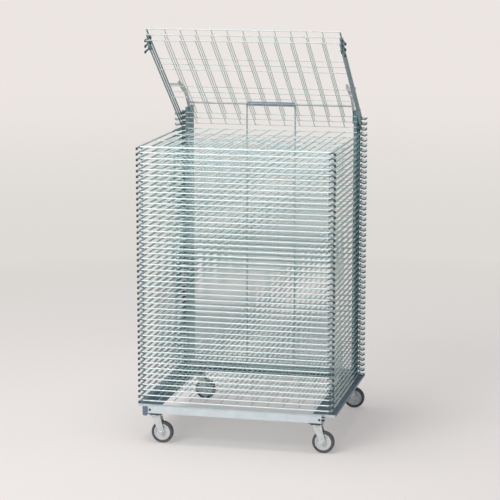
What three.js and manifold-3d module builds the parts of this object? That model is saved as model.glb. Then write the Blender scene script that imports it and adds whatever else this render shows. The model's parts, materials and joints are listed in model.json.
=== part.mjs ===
// Wheeled drying rack: fifty hinged wire shelves on a steel frame with four swivel casters.
// Millimetres, +Z up, front towards -Y. The floor is z = 0 and the origin lies under the
// middle of the rack's box. Inside the rack the shelf hinge line is the plane y = 0.

import * as THREE from 'three';
import { mergeVertices } from 'three/addons/utils/BufferGeometryUtils.js';
import Module from 'manifold-3d';

const wasm = await Module();
wasm.setup();

// Shelves
const shelfCount = 50;
const raisedCount = 3;
const shelfPitch = 25.4;
const lowestHingeZ = 195;
const raiseAngle = THREE.MathUtils.degToRad(37);
const shelfDepth = 730;
const shelfWidth = 894;
const wire = 4;
const sideBar = 10;
const innerWires = 11;
const wirePitch = 72.2;
const crossWires = 2;
const crossWireDrop = 0.4;
const tailLength = 20;

// Frame
const clearance = 0.3;
const steel = 3;
const railTop = 176;
const railHeight = 32;
const sideLip = 12;
const railInner = 356;
const railOuter = 460;
const endRailDepth = 40;
const frontRailY = -758;
const rearRailY = 112;
const frontRailHalf = 403;
const gussetWidth = 30;
const gussetSetback = 92;
const postInner = 404;
const postWidth = 16;
const postDepth = 100;
const postRise = 26.4;
const pivotGap = 0.12;

// Top of the frame
const armThickness = 6;
const armWidth = 22;
const armFoot = 60;
const armRise = 88;
const armLean = 64;
const armReach = 192;
const armTipGap = 0.5;
const tieRodRadius = 5;
const tieRodRise = 48.4;
const lowerTieZ = 204;
const tieRodY = 14;
const stopRodRadius = 4;
const stopRodX = 118;
const plateHeight = 20;
const plateThickness = 4;

// Casters
const wheelRadius = 51;
const wheelWidth = 30;
const wheelSides = 16;
const hubRadius = 34;
const hubDish = 5;
const axleRadius = 5;
const casterInset = 85;
const casterSetback = 35;
const casterTrail = 32;
const casterPlate = 64;
const casterPlateThickness = 4;
const forkPlate = 4;
const headRadius = 26;
const headHeight = 12;

// Derived sizes
const postFront = Math.hypot(wire / 2, wire / 2) + pivotGap;
const postOuter = postInner + postWidth;
const railBottom = railTop - railHeight;
const topHingeZ = lowestHingeZ + (shelfCount - 1) * shelfPitch;
const postTop = topHingeZ + postRise;
const tieRodZ = topHingeZ + tieRodRise;
const swivelX = railOuter - casterInset;
const frontSwivelY = frontRailY + casterSetback;
const rearSwivelY = rearRailY - casterSetback;
const boxFront = Math.min(frontRailY, -shelfDepth);
const boxRear = rearRailY;

// Materials
const zinc = { color: 0xc9d2d2, roughness: 0.38, metalness: 0.85 };
const frameBlue = { color: 0x5f7884, roughness: 0.5, metalness: 0.4 };
const railGrey = { color: 0x9fb0b4, roughness: 0.5, metalness: 0.4 };
const wheelGrey = { color: 0x4a4d50, roughness: 0.7, metalness: 0.05 };

// Joining helpers
function toSolid(geometry) {
  const plain = geometry.clone();
  plain.deleteAttribute('normal');
  plain.deleteAttribute('uv');
  const merged = mergeVertices(plain, 1e-4);
  return new wasm.Manifold(new wasm.Mesh({
    numProp: 3,
    vertProperties: new Float32Array(merged.attributes.position.array),
    triVerts: new Uint32Array(merged.index.array),
  }));
}

function toGeometry(solid) {
  const mesh = solid.getMesh();
  const geometry = new THREE.BufferGeometry();
  geometry.setAttribute('position', new THREE.BufferAttribute(mesh.vertProperties, 3));
  geometry.setIndex(new THREE.BufferAttribute(mesh.triVerts, 1));
  geometry.computeVertexNormals();
  return geometry;
}

function join(geometries) {
  return toGeometry(geometries.map(toSolid).reduce((all, next) => all.add(next)));
}

function cut(geometry, holes) {
  return toGeometry(holes.map(toSolid).reduce((rest, next) => rest.subtract(next), toSolid(geometry)));
}

// Shape helpers
function box(x0, x1, y0, y1, z0, z1) {
  const geometry = new THREE.BoxGeometry(x1 - x0, y1 - y0, z1 - z0);
  return geometry.translate((x0 + x1) / 2, (y0 + y1) / 2, (z0 + z1) / 2);
}

function outline(points) {
  return new THREE.Shape(points.map(([x, y]) => new THREE.Vector2(x, y)));
}

function extrude(shape, depth) {
  return new THREE.ExtrudeGeometry(shape, { depth, bevelEnabled: false });
}

// A profile drawn in (y, z) and drawn out along X from x0 to x1.
function alongX(points, x0, x1) {
  const geometry = extrude(outline(points), x1 - x0);
  geometry.rotateZ(Math.PI / 2).rotateY(Math.PI / 2);
  return geometry.translate(x0, 0, 0);
}

// A profile drawn in (x, z) and drawn out along Y from y0 to y1.
function alongY(points, y0, y1) {
  const geometry = extrude(outline(points), y1 - y0);
  return geometry.rotateX(Math.PI / 2).translate(0, y1, 0);
}

function mirrorX(points) {
  return points.map(([x, y]) => [-x, y]).reverse();
}

function rod(radius, length, sides) {
  return new THREE.CylinderGeometry(radius, radius, length, sides);
}

function mesh(name, geometry, look) {
  const part = new THREE.Mesh(geometry, new THREE.MeshStandardMaterial(look));
  part.name = name;
  return part;
}

// One wire shelf, lying flat with its hinge axis along X through the origin: a thin plate
// with its long gaps cut out, and the two middle cross wires hung under its side bars
function shelfGeometry() {
  const half = shelfWidth / 2;
  const inner = half - sideBar;
  const thick = wire / 2;
  const front = -shelfDepth;
  const plate = extrude(outline([
    [-half, front],
    [half, front],
    [half, tailLength],
    [inner, tailLength],
    [inner, thick],
    [-inner, thick],
    [-inner, tailLength],
    [-half, tailLength],
  ]), wire).translate(0, 0, -thick);
  const wireMiddles = Array.from({ length: innerWires }, (_, i) => (i - (innerWires - 1) / 2) * wirePitch);
  const lefts = [-inner, ...wireMiddles.map((x) => x + thick)];
  const rights = [...wireMiddles.map((x) => x - thick), inner];
  const gaps = lefts.map((left, i) => box(left, rights[i], front + wire, -thick, -wire, wire));
  const end = half - sideBar / 4;
  const lug = sideBar / 2;
  const top = -thick - crossWireDrop;
  const crossProfile = [
    [-end, top - wire],
    [end, top - wire],
    [end, 0],
    [end - lug, 0],
    [end - lug, top],
    [-end + lug, top],
    [-end + lug, 0],
    [-end, 0],
  ];
  const crosses = Array.from({ length: crossWires }, (_, i) => {
    const y = (front * (i + 1)) / (crossWires + 1);
    return alongY(crossProfile, y - thick, y + thick);
  });
  return join([cut(plate, gaps), ...crosses]);
}

// Base: two shallow side channels with closed front ends, two end channels, the caster
// mounting plates and a gusset behind each plate
function baseFrame() {
  const lipBottom = railTop - sideLip;
  const side = [
    [railInner, lipBottom],
    [railInner + steel, lipBottom],
    [railInner + steel, railTop - steel],
    [railOuter - steel, railTop - steel],
    [railOuter - steel, lipBottom],
    [railOuter, lipBottom],
    [railOuter, railTop],
    [railInner, railTop],
  ];
  const end = [
    [railInner + 1, lipBottom],
    [railOuter - 1, lipBottom],
    [railOuter - 1, railTop - 1],
    [railInner + 1, railTop - 1],
  ];
  const sideFront = frontRailY + endRailDepth - 1;
  const sideRear = rearRailY - endRailDepth + 1;
  const front = [
    [frontRailY, railBottom],
    [frontRailY + endRailDepth, railBottom],
    [frontRailY + endRailDepth, railBottom + steel],
    [frontRailY + steel, railBottom + steel],
    [frontRailY + steel, railTop - steel],
    [frontRailY + endRailDepth, railTop - steel],
    [frontRailY + endRailDepth, railTop],
    [frontRailY, railTop],
  ];
  const rear = front.map(([y, z]) => [frontRailY + rearRailY - y, z]).reverse();
  const gusset = [
    [frontRailHalf - gussetWidth, railBottom],
    [frontRailHalf, railBottom],
    [frontRailHalf, railTop - 1],
    [frontRailHalf - gussetWidth, railTop - 1],
  ];
  const gussetFronts = [frontRailY + gussetSetback, rearRailY - gussetSetback];
  const gussets = gussetFronts.flatMap((y) => [gusset, mirrorX(gusset)].map((g) => alongY(g, y, y + steel)));
  const plateTop = railBottom + steel / 2;
  const plates = [-swivelX, swivelX].flatMap((x) => [frontSwivelY, rearSwivelY].map((y) => box(
    x - casterPlate / 2,
    x + casterPlate / 2,
    y - casterPlate / 2,
    y + casterPlate / 2,
    railBottom - casterPlateThickness,
    plateTop,
  )));
  return join([
    alongY(side, sideFront, sideRear),
    alongY(mirrorX(side), sideFront, sideRear),
    alongY(end, sideFront, sideFront + steel),
    alongY(mirrorX(end), sideFront, sideFront + steel),
    alongX(front, -frontRailHalf, frontRailHalf),
    alongX(rear, -frontRailHalf, frontRailHalf),
    ...plates,
    ...gussets,
  ]);
}

// A post: a channel with its web inwards and its open side outwards
function post(side) {
  const profile = outline([
    [postInner, postFront],
    [postOuter, postFront],
    [postOuter, postFront + steel],
    [postInner + steel, postFront + steel],
    [postInner + steel, postFront + postDepth - steel],
    [postOuter, postFront + postDepth - steel],
    [postOuter, postFront + postDepth],
    [postInner, postFront + postDepth],
  ]);
  const foot = railTop + clearance;
  const channel = extrude(profile, postTop - foot).translate(0, 0, foot);
  return side > 0 ? channel : channel.rotateZ(Math.PI).translate(0, 2 * postFront + postDepth, 0);
}

// A stop arm: a strap that leans forward from the post's top and bends to just above the top
// shelf's side bar
function stopArm(side) {
  const tipZ = topHingeZ + armReach * Math.tan(raiseAngle) + (wire / 2 + armTipGap) / Math.cos(raiseAngle);
  const elbowZ = postTop + armRise;
  const heelY = postFront + armWidth;
  const strap = [
    [postFront, postTop - armFoot],
    [heelY, postTop - armFoot],
    [heelY, postTop],
    [heelY - armLean, elbowZ],
    [-armReach + armWidth, tipZ + armWidth],
    [-armReach, tipZ + armWidth],
    [-armReach, tipZ],
    [-armReach + armWidth, tipZ],
    [postFront - armLean, elbowZ - armWidth],
    [postFront, postTop - armWidth / 2],
  ];
  const strapOuter = postInner + 1;
  const arm = alongX(strap, strapOuter - armThickness, strapOuter);
  const toe = box(
    strapOuter - armThickness / 2,
    shelfWidth / 2,
    -armReach,
    -armReach + armThickness,
    tipZ,
    tipZ + armWidth / 2,
  );
  const both = join([arm, toe]);
  if (side > 0) {
    return both;
  }
  const flipped = both.clone().scale(-1, 1, 1);
  const index = flipped.index.array;
  for (let i = 0; i < index.length; i += 3) {
    [index[i], index[i + 1]] = [index[i + 1], index[i]];
  }
  return flipped;
}

// Upright: two posts with stop arms, an upper and a lower tie rod, a bare plate on the upper
// one, and two rear stop rods between them
function uprightFrame() {
  const ties = [lowerTieZ, tieRodZ].map((z) => rod(tieRodRadius, 2 * postInner + steel, 8)
    .rotateZ(Math.PI / 2)
    .translate(0, tieRodY, z));
  const rearRodY = tieRodY + tieRodRadius;
  const rods = [-stopRodX, stopRodX].map((x) => rod(stopRodRadius, tieRodZ - lowerTieZ, 8)
    .rotateX(Math.PI / 2)
    .translate(x, rearRodY, (tieRodZ + lowerTieZ) / 2));
  const plate = box(
    -stopRodX,
    stopRodX,
    tieRodY - plateThickness / 2,
    tieRodY + plateThickness / 2,
    tieRodZ - plateHeight / 2,
    tieRodZ + plateHeight / 2,
  );
  return join([post(1), post(-1), stopArm(1), stopArm(-1), ...ties, plate, ...rods]);
}

// Caster fork about its swivel axis, with the head at the top and the axle towards +X
function forkGeometry() {
  const headTop = railBottom - casterPlateThickness - clearance;
  const head = rod(headRadius, headHeight, 16).rotateX(Math.PI / 2).translate(0, 0, headTop - headHeight / 2);
  const legInner = wheelWidth / 2 + 1;
  const legTop = headTop - headHeight / 2;
  const legTip = 2.6 * axleRadius;
  const leg = [
    [-0.7 * headRadius, legTop],
    [-0.5 * headRadius, legTop - headHeight],
    [casterTrail - legTip, wheelRadius],
    [casterTrail, wheelRadius - legTip],
    [casterTrail + legTip, wheelRadius],
    [0.9 * headRadius, legTop],
  ];
  const crown = box(
    -0.7 * headRadius,
    0.9 * headRadius,
    -legInner - forkPlate / 2,
    legInner + forkPlate / 2,
    legTop - forkPlate,
    legTop,
  );
  const axle = rod(axleRadius, 2 * legInner + forkPlate, 10).translate(casterTrail, 0, wheelRadius);
  return join([
    head,
    crown,
    alongY(leg, legInner, legInner + forkPlate),
    alongY(leg, -legInner - forkPlate, -legInner),
    axle,
  ]);
}

// Wheel about its axle along Y: a tyre with a dished hub, standing on one flat of its tread
function wheelGeometry() {
  const rim = wheelRadius / Math.cos(Math.PI / wheelSides);
  const bore = axleRadius + clearance;
  const half = wheelWidth / 2;
  const profile = [
    [bore, -half + hubDish],
    [hubRadius, -half + hubDish],
    [0.9 * wheelRadius, -half],
    [rim, -half + hubDish],
    [rim, half - hubDish],
    [0.9 * wheelRadius, half],
    [hubRadius, half - hubDish],
    [bore, half - hubDish],
    [bore, -half + hubDish],
  ].map(([r, y]) => new THREE.Vector2(r, y));
  return toGeometry(toSolid(new THREE.LatheGeometry(profile, wheelSides, Math.PI / wheelSides)));
}

// Assembly
const rack = new THREE.Group();
rack.position.y = -(boxFront + boxRear) / 2;

rack.add(mesh('base_frame', baseFrame(), railGrey));
rack.add(mesh('upright_frame', uprightFrame(), frameBlue));

const flatShelf = shelfGeometry();
for (let i = 0; i < shelfCount; i += 1) {
  const shelf = mesh(`shelf_${String(i + 1).padStart(2, '0')}`, flatShelf.clone(), zinc);
  shelf.position.z = lowestHingeZ + i * shelfPitch;
  if (i >= shelfCount - raisedCount) {
    shelf.rotation.x = -raiseAngle;
  }
  rack.add(shelf);
}

const fork = forkGeometry();
const wheel = wheelGeometry();
for (const [end, y] of [['front', frontSwivelY], ['rear', rearSwivelY]]) {
  for (const [hand, x] of [['left', -swivelX], ['right', swivelX]]) {
    const caster = new THREE.Group();
    caster.position.set(x, y, 0);
    const wheelPart = mesh(`${end}_${hand}_caster_wheel`, wheel.clone(), wheelGrey);
    wheelPart.position.set(casterTrail, 0, wheelRadius);
    caster.add(mesh(`${end}_${hand}_caster_fork`, fork.clone(), zinc), wheelPart);
    rack.add(caster);
  }
}

export default rack;
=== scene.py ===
import json
import math

import bmesh
import bpy
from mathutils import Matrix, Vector


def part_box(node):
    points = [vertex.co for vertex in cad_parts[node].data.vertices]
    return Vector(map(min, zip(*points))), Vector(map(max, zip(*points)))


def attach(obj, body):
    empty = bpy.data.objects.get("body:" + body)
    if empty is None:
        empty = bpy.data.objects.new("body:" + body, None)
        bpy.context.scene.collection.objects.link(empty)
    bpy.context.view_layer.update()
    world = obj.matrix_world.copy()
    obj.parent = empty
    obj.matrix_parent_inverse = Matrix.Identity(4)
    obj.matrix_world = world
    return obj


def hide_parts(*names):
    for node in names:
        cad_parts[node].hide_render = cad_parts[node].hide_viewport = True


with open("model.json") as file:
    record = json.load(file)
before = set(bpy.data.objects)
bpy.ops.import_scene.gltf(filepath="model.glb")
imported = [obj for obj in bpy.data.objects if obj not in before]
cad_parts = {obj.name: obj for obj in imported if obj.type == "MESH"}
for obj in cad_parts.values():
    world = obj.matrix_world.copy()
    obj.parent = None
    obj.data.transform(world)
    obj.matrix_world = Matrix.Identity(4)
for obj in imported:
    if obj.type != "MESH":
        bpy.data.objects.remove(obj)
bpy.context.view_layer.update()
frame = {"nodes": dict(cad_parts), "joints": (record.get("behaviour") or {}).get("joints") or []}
scene = bpy.context.scene

# Sizes of the wire shelf, in metres
SHELF_DEPTH = 0.730
BAR_X = 0.442
BAR_RADIUS = 0.0044
RAISED_BAR_RADIUS = 0.0037
RAISED_BAR_DROP = 0.0024
WIRE_RADIUS = 0.0019
FRONT_RADIUS = 0.0032
RAISED_FRONT_RADIUS = 0.0023
INNER_WIRES = 11
WIRE_PITCH = 0.0722
CROSS_WIRES = 2
TAIL_LENGTH = 0.020
# Length of the darker blue stretch at the hinge end of each lowered bar
DARK_END_LENGTH = 0.160
RAISED_SHELVES = 3
RAISE_ANGLE = math.radians(37)

# Wire foot at each front corner, which hangs further back on the raised shelves
FOOT_IN = 0.018
FOOT_PEAK = 0.003
FOOT_OUT = 0.009
FOOT_DIP = 0.007
FOOT_RADIUS = 0.0046
FOOT_TIP = 0.0052
FOOT_TIP_TOP = 0.003
FOOT_TIP_BOTTOM = 0.007
HUNG_BACK = 0.064
HUNG_DROP = 0.020
HUNG_SPLAY = 0.017
SLEEVE_RADIUS = 0.0072
SLEEVE_LENGTH = 0.022

# Hinge spring and the bent hook beside it, with a dark copy of the hook just below it as painted
# shade
SPRING_RADIUS = 0.0090
SPRING_WIRE = 0.0020
SPRING_TURNS = 5
COIL_STEPS = 9
POST_OUTER = 0.420
PIN_END = 0.458
HOOK_IN = 0.004
HOOK_BEND = 0.017
HOOK_REACH = 0.028
HOOK_DIP = 0.0065
# How far the dark hook copy, which is painted shade, hangs below each hinge hook
HOOK_SHADE_DROP = 0.0080
HOOK_RADIUS = 0.0032

# Caster: tyre, hub, axle nut and swivel head
WHEEL_RADIUS = 0.051
WHEEL_WIDTH = 0.030
HUB_RADIUS = 0.0385
SEAT_INSET = 0.004
BEAD_WIDTH = 0.003
BEAD_INSET = 0.001
SIDEWALL_DROP = 0.006
SHOULDER_DROP = 0.0015
SHOULDER_INSET = 0.004
TREAD_INSET = 0.010
RIM_FIT = 0.0002
RIM_EDGE = 0.0110
RIM_CHAMFER = 0.003
RIM_FACE = 0.0125
RIM_DEPTH = 0.007
DISH_DEPTH = 0.009
DISH_FACE = 0.009
BOSS_FOOT_RADIUS = 0.017
BOSS_FOOT_FACE = 0.0085
BOSS_RADIUS = 0.0145
BOSS_FACE = 0.0135
BORE_RADIUS = 0.0060
BORE_FACE = 0.0140
NUT_SEAT = 0.0202
NUT_RADIUS = 0.0082
NUT_TOP_RADIUS = 0.0068
NUT_HEIGHT = 0.0075
NUT_CHAMFER = 0.0015
RACE_INNER = 0.0255
RACE_SHOULDER = 0.0290
RACE_OUTER = 0.0310
RACE_BOTTOM = -0.0065
RACE_TOP = -0.0005
CASTER_TRAIL = 0.032
HEAD_HEIGHT = 0.012
HEAD_TOP = 0.1397
# Height of the near-black band at the top of each fork: painted shade for the gap under the rail
HEAD_SHADE_HEIGHT = 0.0055

# Frame: rails, posts, tie rod and its plate, with the margins of their paint
RAIL_BOTTOM = 0.144
END_RAIL_DEPTH = 0.040
END_RAIL_HALF = 0.403
CHANNEL_LAP = 0.001
CHANNEL_LIP = 0.012
POST_SETBACK = 0.003
# Beyond this, the posts are toned lighter in front of the hinge line as painted light, while their
# inner faces and rear stay darker as painted shade
LIT_POST_FACE_FROM = 0.4047
POST_TOP = 1.466
ARM_FOOT = 0.001
ROD_ZONE = 0.125
TIE_Z = 1.488
PLATE_HALF_WIDTH = 0.118
PLATE_HALF_HEIGHT = 0.010
PAINT_LAP = 0.002
PAINT_EDGE = 0.0005
FACE_MARGIN = 0.0001

# Bolts in the front rail, with their dome as radius and height
BOLT_X = 0.394
BOLT_DOME = ((0.0, 0.0035), (0.003, 0.0032), (0.0052, 0.0020), (0.0058, 0.0))

# Tab under the front end of the left side channel
TAB_X = -0.4275
TAB_HALF = 0.012
TAB_DROP = 0.044
TAB_CHAMFER = 0.005
TAB_THICKNESS = 0.004

# Modelling detail
EDGE_WIDTH = 0.0008
EDGE_SEGMENTS = 2
WIRE_ROUNDNESS = 2
WHEEL_SEGMENTS = 64
RACE_SEGMENTS = 40
BOLT_SEGMENTS = 24
NUT_SEGMENTS = 6
ON_AXIS = 1e-6
WELD = 1e-7

# Tones: each finish runs from its first tone to its second
# Painted highlight: the lowered shelves' front wires, pins and upper hooks are toned bright for
# the light on them
LIT_WIRE = ((0.72, 0.86, 0.88), (0.86, 0.96, 0.97))
# Painted shade: the lowered shelves' inner, cross and rear wires are toned greyer for the shadow
# inside the stack
GRID_SHADE_WIRE = ((0.55, 0.68, 0.68), (0.70, 0.82, 0.81))
# Painted shade: the raised shelves' wires, whose visible undersides face away from the lamps
SHADED_WIRE = ((0.50, 0.57, 0.565), (0.63, 0.70, 0.69))
# Painted light: the lit tone of the bar steel on the lowered shelves, whose tops face the lamps
BAR = ((0.48, 0.57, 0.55), (0.62, 0.71, 0.68))
# Darker blue on the hinge ends of the lowered bars, to match the dark posts around the hinges
DARK_HINGE_END = ((0.13, 0.275, 0.305), (0.19, 0.35, 0.38))
# Painted shade: the same bar steel, darker on the raised shelves, whose visible faces are in shade
SHADED_BAR = ((0.24, 0.32, 0.345), (0.34, 0.43, 0.455))
SPRING = ((0.09, 0.145, 0.17), (0.16, 0.23, 0.26))
TIP_RUBBER = ((0.03, 0.05, 0.06), (0.07, 0.09, 0.10))
TYRE = ((0.075, 0.075, 0.08), (0.13, 0.13, 0.135))
HUB = ((0.62, 0.64, 0.66), (0.74, 0.76, 0.78))
FORK = ((0.62, 0.66, 0.66), (0.80, 0.83, 0.82))
# Painted shade: near-black for the gap and bolt shadows between the fork tops and the rail
HEAD_SHADE = ((0.05, 0.06, 0.065), (0.09, 0.10, 0.105))
SLATE = ((0.13, 0.18, 0.235), (0.19, 0.245, 0.305))
# Painted light: the front rail is toned pale for its lit front face
LIT_FRONT_RAIL = ((0.66, 0.73, 0.77), (0.74, 0.81, 0.85))
REAR_RAIL = ((0.32, 0.42, 0.47), (0.40, 0.50, 0.55))
# Painted shade: near-black for the base frame's parts below the rails, in the shade under them
UNDER_RAIL_SHADE = ((0.06, 0.08, 0.09), (0.10, 0.12, 0.13))
# The posts' dark teal; on their inner faces and rear parts it also serves as painted shade beside
# the lighter fronts
POST = ((0.075, 0.165, 0.195), (0.11, 0.22, 0.255))
# Painted light: the posts' front and outer faces, lighter than their inner faces
LIT_POST_FACE = ((0.17, 0.28, 0.32), (0.24, 0.35, 0.39))
ROD = ((0.50, 0.55, 0.57), (0.60, 0.65, 0.67))
SILVER = ((0.45, 0.47, 0.46), (0.60, 0.62, 0.61))
PLATE = ((0.24, 0.32, 0.39), (0.31, 0.39, 0.46))
PAPER = ((0.80, 0.765, 0.745), (0.82, 0.785, 0.765))
RAMP_START = 0.3
RAMP_END = 0.7
GRAIN_DETAIL = 3.0
ROUGH_GRAIN = 3
BUMP_SCALE = 400.0
BUMP_DETAIL = 2.0
BUMP_DEPTH = 0.0004

# Studio floor and the air above it
FLOOR_HALF = 60.0
NEAR_RADIUS = 1.8
MIDDLE_RADIUS = 4.5
FAR_RADIUS = 16.0
# Share of the floor's glow near the rack: painted light that lifts the rack's shadow
NEAR_SHARE = 0.37
NEAR_TONE = (0.81, 0.765, 0.75)
# Painted shade: the darker band of floor in the middle distance
MIDDLE_SHADE_TONE = (0.73, 0.708, 0.672)
FAR_TONE = (0.84, 0.79, 0.765)
AIR_TONE = (0.92, 0.96, 1.0)
AIR_STRENGTH = 0.41

# Lights, each with the point that it faces
TOP_LIGHT = {
    "place_at": (-0.6, -0.4, 5.5),
    "aim": (0.0, 0.0, 0.6),
    "size": 3.0,
    "power": 140.0,
    "tone": (1.0, 0.98, 0.96),
}
KEY_LIGHT = {
    "place_at": (-2.7, -5.3, 4.5),
    "aim": (0.0, 0.0, 0.9),
    "size": 4.0,
    "power": 215.0,
    "tone": (1.0, 0.97, 0.95),
}

# Camera
CAMERA_AT = (1.9597, -8.5941, 2.4699)
CAMERA_YAW = -0.2269
CAMERA_PITCH = 0.1829
CAMERA_LENS = 138.1
CAMERA_SENSOR = 36.0


# Shader nodes

def node(tree, kind, **inputs):
    """A new node with the given values on its inputs."""
    made = tree.nodes.new(kind)
    for key, value in inputs.items():
        made.inputs[key.replace("_", " ")].default_value = value
    return made


def math_node(tree, operation, *values):
    """The result of a Math node whose inputs are sockets or plain numbers."""
    made = tree.nodes.new("ShaderNodeMath")
    made.operation = operation
    for socket, value in zip(made.inputs, values):
        if isinstance(value, (int, float)):
            socket.default_value = value
        else:
            tree.links.new(value, socket)
    return made.outputs["Value"]


def ramp(tree, factor, tones):
    """A colour that runs from one tone to another as the factor rises."""
    made = tree.nodes.new("ShaderNodeValToRGB")
    stops = made.color_ramp.elements
    stops[0].position = RAMP_START
    stops[1].position = RAMP_END
    for stop, tone in zip(stops, tones):
        stop.color = (*tone, 1.0)
    tree.links.new(factor, made.inputs["Fac"])
    return made.outputs["Color"]


def noise(tree, vector, scale, detail=GRAIN_DETAIL):
    """The grey level of a noise texture."""
    made = node(tree, "ShaderNodeTexNoise", Scale=scale, Detail=detail)
    tree.links.new(vector, made.inputs["Vector"])
    return made.outputs["Fac"]


def region(**limits):
    """A mask that is 1 where every limit holds, such as z_above=1.2 or x_within=0.1."""
    def mask(tree, where):
        split = tree.nodes.new("ShaderNodeSeparateXYZ")
        tree.links.new(where, split.inputs["Vector"])
        total = 1.0
        for key, limit in limits.items():
            axis, rule = key.split("_")
            value = split.outputs[axis.upper()]
            if rule in ("within", "beyond"):
                value = math_node(tree, "ABSOLUTE", value)
            test = "GREATER_THAN" if rule in ("above", "beyond") else "LESS_THAN"
            total = math_node(tree, "MULTIPLY", total, math_node(tree, test, value, limit))
        return total
    return mask


def finish(name, tones, scale, rough, metallic=0.0, bump=0.0, specular=0.5, zones=()):
    """A mottled material, with other tones in the zones that its masks give."""
    made = bpy.data.materials.new(name)
    made.use_nodes = True
    tree = made.node_tree
    shader = tree.nodes["Principled BSDF"]
    where = tree.nodes.new("ShaderNodeTexCoord").outputs["Object"]
    grain = noise(tree, where, scale)
    colour = ramp(tree, grain, tones)
    for mask, zone_tones in zones:
        mix = tree.nodes.new("ShaderNodeMix")
        mix.data_type = "RGBA"
        tree.links.new(mask(tree, where), mix.inputs["Factor"])
        tree.links.new(colour, mix.inputs["A"])
        tree.links.new(ramp(tree, grain, zone_tones), mix.inputs["B"])
        colour = mix.outputs["Result"]
    tree.links.new(colour, shader.inputs["Base Color"])
    spread = node(tree, "ShaderNodeMapRange", To_Min=rough[0], To_Max=rough[1])
    tree.links.new(noise(tree, where, scale * ROUGH_GRAIN), spread.inputs["Value"])
    tree.links.new(spread.outputs["Result"], shader.inputs["Roughness"])
    shader.inputs["Metallic"].default_value = metallic
    shader.inputs["Specular IOR Level"].default_value = specular
    if bump:
        relief = node(tree, "ShaderNodeBump", Strength=bump, Distance=BUMP_DEPTH)
        tree.links.new(noise(tree, where, BUMP_SCALE, BUMP_DETAIL), relief.inputs["Height"])
        tree.links.new(relief.outputs["Normal"], shader.inputs["Normal"])
    return made


# Finishes of the shelves and casters; the wire zinc and bar steel come in lit and shaded copies,
# as painted light and painted shade
ZINC = {"scale": 30.0, "rough": (0.28, 0.48), "metallic": 0.35, "bump": 0.15}
STEEL = {"scale": 24.0, "rough": (0.3, 0.5), "bump": 0.12}
# Painted highlight: a bright tone for the lit front wires, pins and upper hooks of the lowered
# shelves
lit_zinc = finish("bright_zinc_wire", LIT_WIRE, **ZINC)
# Painted shade: a greyer copy of the wire zinc for the shadow on the grid wires inside the stack
zinc = finish("zinc_wire", GRID_SHADE_WIRE, **ZINC)
shaded_zinc = finish("shaded_zinc_wire", SHADED_WIRE, **ZINC)
# The lowered bars turn darker blue over their last stretch towards the hinge
dark_hinge_ends = ((region(y_above=-DARK_END_LENGTH), DARK_HINGE_END),)
bar_steel = finish("bar_steel", BAR, **STEEL, metallic=0.35, zones=dark_hinge_ends)
shaded_steel = finish("shaded_bar_steel", SHADED_BAR, **STEEL, metallic=0.45)
spring_steel = finish("spring_steel", SPRING, scale=40.0, rough=(0.3, 0.5), metallic=0.5, bump=0.1)
foot_rubber = finish("foot_rubber", TIP_RUBBER, scale=90.0, rough=(0.5, 0.7), bump=0.2)
tyre_rubber = finish("tyre_rubber", TYRE, scale=60.0, rough=(0.55, 0.75), bump=0.25)
hub_grey = finish("hub_grey", HUB, scale=35.0, rough=(0.35, 0.5), bump=0.1)
# Painted shade: a near-black band at the top of each fork, under the rail
head_shades = ((region(z_above=HEAD_TOP - HEAD_SHADE_HEIGHT), HEAD_SHADE),)
fork_zinc = finish(
    "fork_zinc", FORK, scale=45.0, rough=(0.25, 0.45), metallic=0.55, bump=0.15, zones=head_shades
)


# Geometry helpers

def place(name, data, place_at=(0, 0, 0), turn=(0, 0, 0)):
    """A new object in the scene, at its place."""
    made = bpy.data.objects.new(name, data)
    scene.collection.objects.link(made)
    made.location = place_at
    made.rotation_euler = turn
    return made


def add(name, mesh, body, place_at=(0, 0, 0), turn=(0, 0, 0)):
    """A piece of the rack, which rides on a body once it is in place."""
    made = place(name, mesh, place_at, turn)
    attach(made, body)
    return made


def dress(name, material):
    """A CAD node in a new finish, with its edges softened."""
    part = frame["nodes"][name]
    part.data.materials.clear()
    part.data.materials.append(material)
    edge = part.modifiers.new("edges", "BEVEL")
    edge.width = EDGE_WIDTH
    edge.segments = EDGE_SEGMENTS
    edge.limit_method = "ANGLE"


def wires(name, runs, materials):
    """One mesh of round wires: each run is its points, its radius and its material's number."""
    curve = bpy.data.curves.new(name, "CURVE")
    curve.dimensions = "3D"
    curve.bevel_depth = 1.0
    curve.bevel_resolution = WIRE_ROUNDNESS
    curve.use_fill_caps = True
    for material in materials:
        curve.materials.append(material)
    for points, radius, material in runs:
        spline = curve.splines.new("POLY")
        spline.points.add(len(points) - 1)
        for target, point in zip(spline.points, points):
            target.co = (*point, 1.0)
            target.radius = radius
        spline.material_index = material
        spline.use_smooth = True
    holder = place(name, curve)
    shown = holder.evaluated_get(bpy.context.evaluated_depsgraph_get())
    mesh = bpy.data.meshes.new_from_object(shown)
    bpy.data.objects.remove(holder)
    bpy.data.curves.remove(curve)
    mesh.name = name
    return mesh


def helix(start, end, radius, turns):
    """Points of a coil about a line along X."""
    count = turns * COIL_STEPS
    points = []
    for i in range(count + 1):
        angle = math.tau * i / COIL_STEPS
        x = start + (end - start) * i / count
        points.append((x, radius * math.cos(angle), radius * math.sin(angle)))
    return points


def both_sides(outline):
    """A half outline of radius and place along the axle, with its mirror image."""
    return [(r, -y) for r, y in outline] + [(r, y) for r, y in reversed(outline)]


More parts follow.
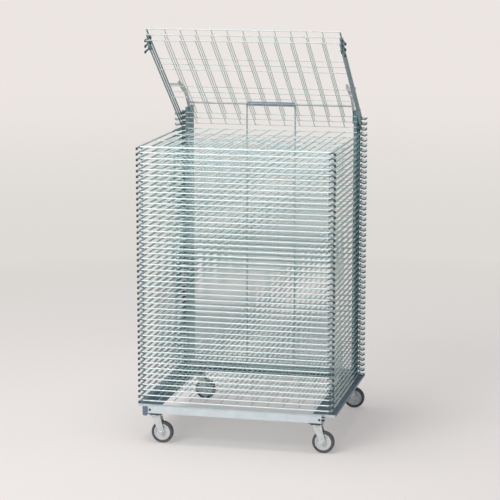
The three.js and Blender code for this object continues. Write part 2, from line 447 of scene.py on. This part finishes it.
def lathe(name, outline, material, segments):
    """A closed outline of radius and place along Y, turned about Y."""
    mesh = bpy.data.meshes.new(name)
    shape = bmesh.new()
    rings = []
    for step in range(segments):
        angle = math.tau * step / segments
        ring = [shape.verts.new((r * math.cos(angle), y, r * math.sin(angle))) for r, y in outline]
        rings.append(ring)
    for step in range(segments):
        here, there = rings[step], rings[(step + 1) % segments]
        for i in range(len(outline)):
            j = (i + 1) % len(outline)
            if outline[i][0] < ON_AXIS and outline[j][0] < ON_AXIS:
                continue
            face = shape.faces.new((here[i], here[j], there[j], there[i]))
            face.smooth = True
    bmesh.ops.remove_doubles(shape, verts=shape.verts, dist=WELD)
    bmesh.ops.recalc_face_normals(shape, faces=shape.faces)
    shape.to_mesh(mesh)
    shape.free()
    mesh.materials.append(material)
    return mesh


def flat_plate(name, outline, thickness, material):
    """A plate whose outline in X and Z is the front face, with its thickness towards +Y."""
    mesh = bpy.data.meshes.new(name)
    shape = bmesh.new()
    face = shape.faces.new([shape.verts.new((x, 0.0, z)) for x, z in outline])
    grown = bmesh.ops.extrude_face_region(shape, geom=[face])["geom"]
    corners = [item for item in grown if isinstance(item, bmesh.types.BMVert)]
    bmesh.ops.translate(shape, verts=corners, vec=(0.0, thickness, 0.0))
    bmesh.ops.recalc_face_normals(shape, faces=shape.faces)
    shape.to_mesh(mesh)
    shape.free()
    mesh.materials.append(material)
    return mesh


# Wire shelves, each with its hinge line at the origin and its front towards -Y

# The order of the finishes on a shelf
FRONT_FINISH, BAR_FINISH, SPRING_FINISH, TIP_FINISH, GRID_FINISH = range(5)
# Lowered shelves: the front wire, pins and upper hooks take the painted highlight, and the grid
# wires take painted shade
lowered_finishes = (lit_zinc, bar_steel, spring_steel, foot_rubber, zinc)
# Raised shelves: painted-shade copies of the wire and bar tones
raised_shaded_finishes = (shaded_zinc, shaded_steel, spring_steel, foot_rubber, shaded_zinc)


def grid_runs(raised):
    """The inner, cross, front and rear wires."""
    runs = []
    front = -SHELF_DEPTH
    for i in range(INNER_WIRES):
        x = (i - (INNER_WIRES - 1) / 2) * WIRE_PITCH
        inner = [(x, front, WIRE_RADIUS), (x, WIRE_RADIUS, WIRE_RADIUS)]
        runs.append((inner, WIRE_RADIUS, GRID_FINISH))
    for i in range(CROSS_WIRES):
        y = front * (i + 1) / (CROSS_WIRES + 1)
        cross = [(-BAR_X, y, -WIRE_RADIUS), (BAR_X, y, -WIRE_RADIUS)]
        runs.append((cross, WIRE_RADIUS, GRID_FINISH))
    front_radius = RAISED_FRONT_RADIUS if raised else FRONT_RADIUS
    runs.append(([(-BAR_X, front, 0), (BAR_X, front, 0)], front_radius, FRONT_FINISH))
    runs.append(([(-BAR_X, 0, 0), (BAR_X, 0, 0)], WIRE_RADIUS, GRID_FINISH))
    return runs


def foot_runs(bar, side, raised):
    """The foot of one front corner, with its rubber tip."""
    front = -SHELF_DEPTH
    if raised:
        root = Vector((bar, front + HUNG_BACK, 0))
        half_sleeve = Vector((0, SLEEVE_LENGTH / 2, 0))
        tip = root + Vector((side * HUNG_SPLAY, 0, -HUNG_DROP))
        sleeve = [root - half_sleeve, root + half_sleeve]
        runs = [(sleeve, SLEEVE_RADIUS, SPRING_FINISH), ([root, tip], FOOT_RADIUS, SPRING_FINISH)]
    else:
        root = (bar - side * FOOT_IN, front, -FOOT_DIP)
        peak = (bar - side * FOOT_PEAK, front, 0)
        tip = Vector((bar + side * FOOT_OUT, front, -FOOT_DIP))
        runs = [([root, peak, tip], FOOT_RADIUS, SPRING_FINISH)]
    tip_top = tip + Vector((0, 0, FOOT_TIP_TOP))
    tip_bottom = tip - Vector((0, 0, FOOT_TIP_BOTTOM))
    runs.append(([tip_bottom, tip_top], FOOT_TIP, TIP_FINISH))
    return runs


def hinge_runs(bar, side):
    """The spring, the pin and the hook of one hinge, with a dark copy of the hook below it as
    painted shade.
    """
    coil_start = side * (POST_OUTER + SPRING_WIRE)
    coil_end = side * (BAR_X - BAR_RADIUS - SPRING_WIRE)
    coil = helix(coil_start, coil_end, SPRING_RADIUS, SPRING_TURNS)
    pin = [(bar, 0, 0), (side * PIN_END, 0, 0)]
    runs = [(coil, SPRING_WIRE, SPRING_FINISH), (pin, WIRE_RADIUS, FRONT_FINISH)]
    # The lit hook takes the front wire's tone, and its dark copy below is painted shade
    for drop, material in ((0.0, FRONT_FINISH), (HOOK_SHADE_DROP, SPRING_FINISH)):
        hook = [
            (bar - side * HOOK_IN, 0, -drop),
            (bar + side * HOOK_BEND, 0, -HOOK_DIP - drop),
            (bar + side * HOOK_REACH, 0, -drop),
        ]
        runs.append((hook, HOOK_RADIUS, material))
    return runs


def shelf_runs(raised):
    """Every wire of one shelf."""
    runs = grid_runs(raised)
    bar_radius = RAISED_BAR_RADIUS if raised else BAR_RADIUS
    bar_z = -RAISED_BAR_DROP if raised else 0.0
    bar_front = -SHELF_DEPTH - FRONT_RADIUS
    for side in (-1, 1):
        bar = side * BAR_X
        runs.append(([(bar, bar_front, bar_z), (bar, TAIL_LENGTH, bar_z)], bar_radius, BAR_FINISH))
        runs += foot_runs(bar, side, raised)
        runs += hinge_runs(bar, side)
    return runs


lowered_mesh = wires("lowered_shelf", shelf_runs(False), lowered_finishes)
raised_mesh = wires("raised_shelf", shelf_runs(True), raised_shaded_finishes)
hinges = {j["child"]: j for j in frame["joints"] if j["child"].startswith("shelf_")}
for number, body in enumerate(sorted(hinges), 1):
    is_raised = number > len(hinges) - RAISED_SHELVES
    mesh = raised_mesh if is_raised else lowered_mesh
    tilt = -RAISE_ANGLE if is_raised else 0.0
    shelf = add("wire_" + body, mesh, body, hinges[body]["pos_m"], (tilt, 0, 0))
    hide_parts(body)

# Casters
half_width = WHEEL_WIDTH / 2
tyre_outline = both_sides([
    (HUB_RADIUS, half_width - SEAT_INSET),
    (HUB_RADIUS + BEAD_WIDTH, half_width - BEAD_INSET),
    (WHEEL_RADIUS - SIDEWALL_DROP, half_width),
    (WHEEL_RADIUS - SHOULDER_DROP, half_width - SHOULDER_INSET),
    (WHEEL_RADIUS, half_width - TREAD_INSET),
])
hub_outline = both_sides([
    (HUB_RADIUS - RIM_FIT, RIM_EDGE),
    (HUB_RADIUS - RIM_CHAMFER, RIM_FACE),
    (HUB_RADIUS - RIM_DEPTH, RIM_FACE),
    (HUB_RADIUS - DISH_DEPTH, DISH_FACE),
    (BOSS_FOOT_RADIUS, BOSS_FOOT_FACE),
    (BOSS_RADIUS, BOSS_FACE),
    (BORE_RADIUS, BORE_FACE),
])
nut_outline = [
    (0.0, -NUT_SEAT - NUT_HEIGHT),
    (NUT_TOP_RADIUS, -NUT_SEAT - NUT_HEIGHT),
    (NUT_RADIUS, -NUT_SEAT - NUT_HEIGHT + NUT_CHAMFER),
    (NUT_RADIUS, -NUT_SEAT),
    (0.0, -NUT_SEAT),
]
race_outline = [
    (RACE_INNER, RACE_BOTTOM),
    (RACE_SHOULDER, RACE_BOTTOM),
    (RACE_OUTER, (RACE_BOTTOM + RACE_TOP) / 2),
    (RACE_SHOULDER, RACE_TOP),
    (RACE_INNER, RACE_TOP),
]
tyre_mesh = lathe("caster_tyre", tyre_outline, tyre_rubber, WHEEL_SEGMENTS)
hub_mesh = lathe("caster_hub", hub_outline, hub_grey, WHEEL_SEGMENTS)
nut_mesh = lathe("axle_nut", nut_outline, fork_zinc, NUT_SEGMENTS)
race_mesh = lathe("swivel_race", race_outline, fork_zinc, RACE_SEGMENTS)
for corner in ("front_left", "front_right", "rear_left", "rear_right"):
    wheel = corner + "_caster_wheel"
    low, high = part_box(wheel)
    centre = (low + high) / 2
    tyre = add(corner + "_tyre", tyre_mesh, wheel, centre)
    add(corner + "_hub", hub_mesh, wheel, centre)
    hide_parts(wheel)
    fork = corner + "_caster_fork"
    dress(fork, fork_zinc)
    for hand, turn in (("front", 0.0), ("rear", math.pi)):
        add(f"{corner}_axle_nut_{hand}", nut_mesh, fork, centre, (0, 0, turn))
    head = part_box(fork)[1].z - HEAD_HEIGHT / 2
    swivel = (centre.x - CASTER_TRAIL, centre.y, head)
    add(corner + "_swivel_race", race_mesh, fork, swivel, (math.pi / 2, 0, 0))

# Painted frame steel, with painted light on the front rail and the posts' fronts and painted shade
# under the rails
rail_low, rail_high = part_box("base_frame")
side_front = rail_low.y + END_RAIL_DEPTH - CHANNEL_LAP
rear_edge = rail_high.y - END_RAIL_DEPTH - PAINT_LAP
post_edge = hinges["shelf_01"]["pos_m"][1] + POST_SETBACK + PAINT_LAP
plate_half_height = PLATE_HALF_HEIGHT + FACE_MARGIN
rail_zones = (
    # Painted light on the front rail
    (region(y_below=side_front + PAINT_LAP), LIT_FRONT_RAIL),
    (region(y_above=rear_edge, x_within=END_RAIL_HALF + PAINT_EDGE), REAR_RAIL),
    # Painted shade under the rails
    (region(z_below=RAIL_BOTTOM - FACE_MARGIN), UNDER_RAIL_SHADE),
)
plate_zone = region(
    z_above=TIE_Z - plate_half_height,
    z_below=TIE_Z + plate_half_height,
    x_within=PLATE_HALF_WIDTH + PAINT_EDGE,
)
post_zones = (
    # Painted light on the posts' front and outer faces
    (region(y_below=post_edge, x_beyond=LIT_POST_FACE_FROM), LIT_POST_FACE),
    (region(x_within=ROD_ZONE), ROD),
    (region(z_above=POST_TOP + ARM_FOOT), SILVER),
    (plate_zone, PLATE),
)
RAIL_PAINT = {"scale": 18.0, "rough": (0.35, 0.55), "metallic": 0.1, "bump": 0.1}
rail_paint = finish("rail_paint", SLATE, **RAIL_PAINT, zones=rail_zones)
tab_paint = finish("tab_paint", SLATE, **RAIL_PAINT)
post_paint = finish(
    "post_paint", POST, scale=18.0, rough=(0.3, 0.5), metallic=0.2, bump=0.1, zones=post_zones
)
dress("base_frame", rail_paint)
dress("upright_frame", post_paint)

# Bolts near the ends of the front rail
bolt_outline = [(r, -height) for r, height in BOLT_DOME] + [(0.0, 0.0)]
bolt_mesh = lathe("rail_bolt", bolt_outline, foot_rubber, BOLT_SEGMENTS)
for hand, x in (("left", -BOLT_X), ("right", BOLT_X)):
    seat = (x, rail_low.y, (RAIL_BOTTOM + rail_high.z) / 2)
    add("rail_bolt_" + hand, bolt_mesh, "frame", seat)

# A tab that hangs from the closed front end of the left side channel
tab_outline = [
    (-TAB_HALF, 0.0),
    (-TAB_HALF, -TAB_DROP + TAB_CHAMFER),
    (-TAB_HALF + TAB_CHAMFER, -TAB_DROP),
    (TAB_HALF - TAB_CHAMFER, -TAB_DROP),
    (TAB_HALF, -TAB_DROP + TAB_CHAMFER),
    (TAB_HALF, 0.0),
]
tab_mesh = flat_plate("channel_tab", tab_outline, TAB_THICKNESS, tab_paint)
tab_seat = (TAB_X, side_front, rail_high.z - CHANNEL_LIP)
add("channel_tab", tab_mesh, "frame", tab_seat)


# Studio: a wide pale floor, which takes more of its tone from itself the further off it is

def glow_where_seen(material):
    """Mixes a glow in the floor's own tone into it, for rays that show it and not for its light:
    near the rack the glow is painted light that lifts the rack's shadow, and the darker middle
    tone is painted shade.
    """
    tree = material.node_tree
    rays = tree.nodes.new("ShaderNodeLightPath")
    seen = rays.outputs["Is Camera Ray"]
    for kind in ("Is Glossy Ray", "Is Transmission Ray"):
        seen = math_node(tree, "MAXIMUM", seen, rays.outputs[kind])
    reach = tree.nodes.new("ShaderNodeVectorMath")
    reach.operation = "LENGTH"
    tree.links.new(tree.nodes.new("ShaderNodeTexCoord").outputs["Object"], reach.inputs[0])
    distance = reach.outputs["Value"]
    share = node(
        tree, "ShaderNodeMapRange", From_Min=NEAR_RADIUS, From_Max=MIDDLE_RADIUS, To_Min=NEAR_SHARE
    )
    tree.links.new(distance, share.inputs["Value"])
    span = node(tree, "ShaderNodeMapRange", From_Min=NEAR_RADIUS, From_Max=FAR_RADIUS)
    tree.links.new(distance, span.inputs["Value"])
    tones = tree.nodes.new("ShaderNodeValToRGB")
    tones.color_ramp.interpolation = "EASE"
    stops = tones.color_ramp.elements
    stops[0].color = (*NEAR_TONE, 1.0)
    stops[1].color = (*FAR_TONE, 1.0)
    middle = (MIDDLE_RADIUS - NEAR_RADIUS) / (FAR_RADIUS - NEAR_RADIUS)
    stops.new(middle).color = (*MIDDLE_SHADE_TONE, 1.0)
    tree.links.new(span.outputs["Result"], tones.inputs["Fac"])
    glow = node(tree, "ShaderNodeEmission", Strength=1.0)
    tree.links.new(tones.outputs["Color"], glow.inputs["Color"])
    mix = tree.nodes.new("ShaderNodeMixShader")
    tree.links.new(math_node(tree, "MULTIPLY", seen, share.outputs["Result"]), mix.inputs["Fac"])
    tree.links.new(tree.nodes["Principled BSDF"].outputs["BSDF"], mix.inputs[1])
    tree.links.new(glow.outputs["Emission"], mix.inputs[2])
    tree.links.new(mix.outputs["Shader"], tree.nodes["Material Output"].inputs["Surface"])


def studio_air(name):
    """A world that lights the rack softly and is as pale as the far floor where it is seen."""
    world = bpy.data.worlds.new(name)
    world.use_nodes = True
    tree = world.node_tree
    light = tree.nodes["Background"]
    light.inputs["Color"].default_value = (*AIR_TONE, 1.0)
    light.inputs["Strength"].default_value = AIR_STRENGTH
    view = node(tree, "ShaderNodeBackground", Color=(*FAR_TONE, 1.0), Strength=1.0)
    seen = tree.nodes.new("ShaderNodeLightPath").outputs["Is Camera Ray"]
    mix = tree.nodes.new("ShaderNodeMixShader")
    tree.links.new(seen, mix.inputs["Fac"])
    tree.links.new(light.outputs["Background"], mix.inputs[1])
    tree.links.new(view.outputs["Background"], mix.inputs[2])
    tree.links.new(mix.outputs["Shader"], tree.nodes["World Output"].inputs["Surface"])
    return world


def square_light(name, place_at, aim, size, power, tone):
    """A square area light that faces the point it aims at."""
    light = bpy.data.lights.new(name, "AREA")
    light.shape = "SQUARE"
    light.size = size
    light.energy = power
    light.color = tone
    turn = (Vector(aim) - Vector(place_at)).to_track_quat("-Z", "Y").to_euler()
    place(name, light, place_at, turn)


studio_paper = finish("studio_paper", PAPER, scale=0.8, rough=(0.85, 0.95), specular=0.1)
glow_where_seen(studio_paper)
corner_signs = ((-1, -1), (1, -1), (1, 1), (-1, 1))
floor_corners = [(x * FLOOR_HALF, y * FLOOR_HALF, 0.0) for x, y in corner_signs]
floor_mesh = bpy.data.meshes.new("studio_floor")
floor_mesh.from_pydata(floor_corners, [], [(0, 1, 2, 3)])
floor_mesh.materials.append(studio_paper)
floor = place("studio_floor", floor_mesh)
square_light("top_light", **TOP_LIGHT)
square_light("key_light", **KEY_LIGHT)
scene.world = studio_air("studio_air")

# Camera
lens = bpy.data.cameras.new("camera")
lens.lens = CAMERA_LENS
lens.sensor_width = CAMERA_SENSOR
flat = math.cos(CAMERA_PITCH)
look = Vector((math.sin(CAMERA_YAW) * flat, math.cos(CAMERA_YAW) * flat, -math.sin(CAMERA_PITCH)))
scene.camera = place("camera", lens, CAMERA_AT, look.to_track_quat("-Z", "Y").to_euler())
scene.view_settings.view_transform = "Standard"
